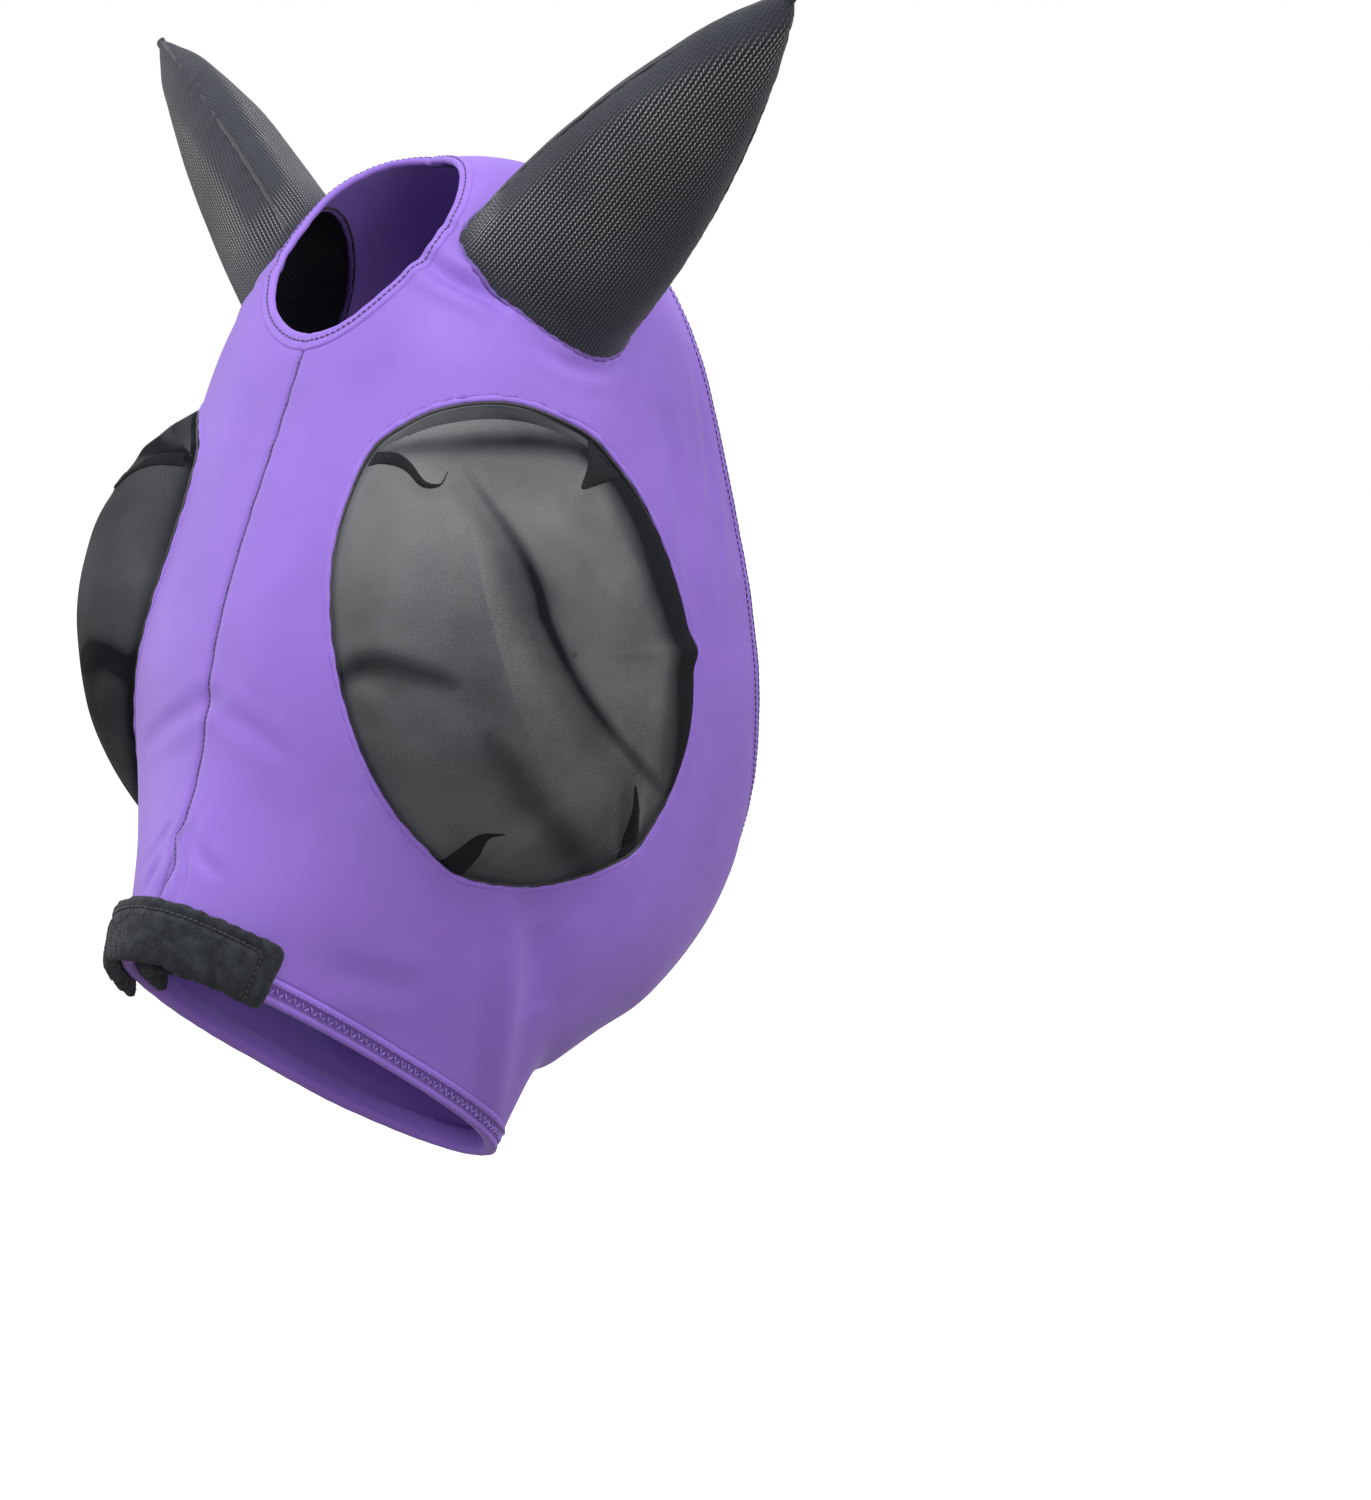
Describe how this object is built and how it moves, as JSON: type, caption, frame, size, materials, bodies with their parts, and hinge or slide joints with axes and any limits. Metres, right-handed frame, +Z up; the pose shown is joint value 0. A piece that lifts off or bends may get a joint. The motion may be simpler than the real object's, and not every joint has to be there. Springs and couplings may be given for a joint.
{
  "type": "horse fly mask",
  "caption": "Pull-on horse fly mask: stretch hood with domed see-through eye meshes, mesh ear pockets, a forelock opening and a fleece nose pad.",
  "frame": {"origin": "on the horse's poll, inside the crown of the hood, midway between the ears", "axes": "+X to the horse's left, -Y forward along the face, +Z up"},
  "size_m": [0.4038, 0.3729, 0.5375],
  "materials": {
    "hood_lycra": "smooth stretch jersey with a soft sheen",
    "hood_edge": "rolled and stitched edge of the stretch jersey",
    "eye_mesh": "fine see-through black power mesh",
    "ear_mesh": "black warp-knit insect mesh with fine ribs",
    "ear_seam": "bound seam in black mesh",
    "black_thread": "black polyester sewing thread",
    "fleece": "black polar fleece with a short soft pile",
    "elastic": "flat knitted elastic",
    "purple_thread": "purple polyester thread"
  },
  "bodies": {
    "hood": {"left_face_panel": "hood_lycra", "right_face_panel": "hood_lycra", "left_eye_mesh": "eye_mesh", "right_eye_mesh": "eye_mesh", "left_eye_binding": "hood_edge", "right_eye_binding": "hood_edge", "left_ear_base_binding": "hood_edge", "right_ear_base_binding": "hood_edge", "forelock_hem": "hood_lycra", "forelock_hem_stitching": "purple_thread", "neck_hem": "hood_lycra", "neck_elastic": "elastic", "neck_hem_stitching": "purple_thread", "nose_hem": "hood_lycra", "nose_elastic": "elastic", "nose_hem_stitching": "purple_thread", "nose_fleece_outer": "fleece", "nose_fleece_inner": "fleece", "nose_fleece_stitching": "black_thread", "face_seam": "purple_thread", "poll_seam": "purple_thread", "throat_seam": "purple_thread"},
    "left_ear": {"left_ear_front": "ear_mesh", "left_ear_back": "ear_mesh", "left_ear_seam": "ear_seam"},
    "right_ear": {"right_ear_front": "ear_mesh", "right_ear_back": "ear_mesh", "right_ear_seam": "ear_seam"}
  },
  "joints": [
    {"name": "left_ear_tilt", "type": "hinge", "parent": "hood", "child": "left_ear", "pos_m": [0.0817, -0.00321, -0.05099], "axis": [-0.7133, 0, 0.7009], "range_deg": [-18, 18], "stiffness_Nm_per_rad": 0.4},
    {"name": "right_ear_tilt", "type": "hinge", "parent": "hood", "child": "right_ear", "pos_m": [-0.0817, -0.00321, -0.05099], "axis": [-0.7133, 0, -0.7009], "range_deg": [-18, 18], "stiffness_Nm_per_rad": 0.4}
  ]
}
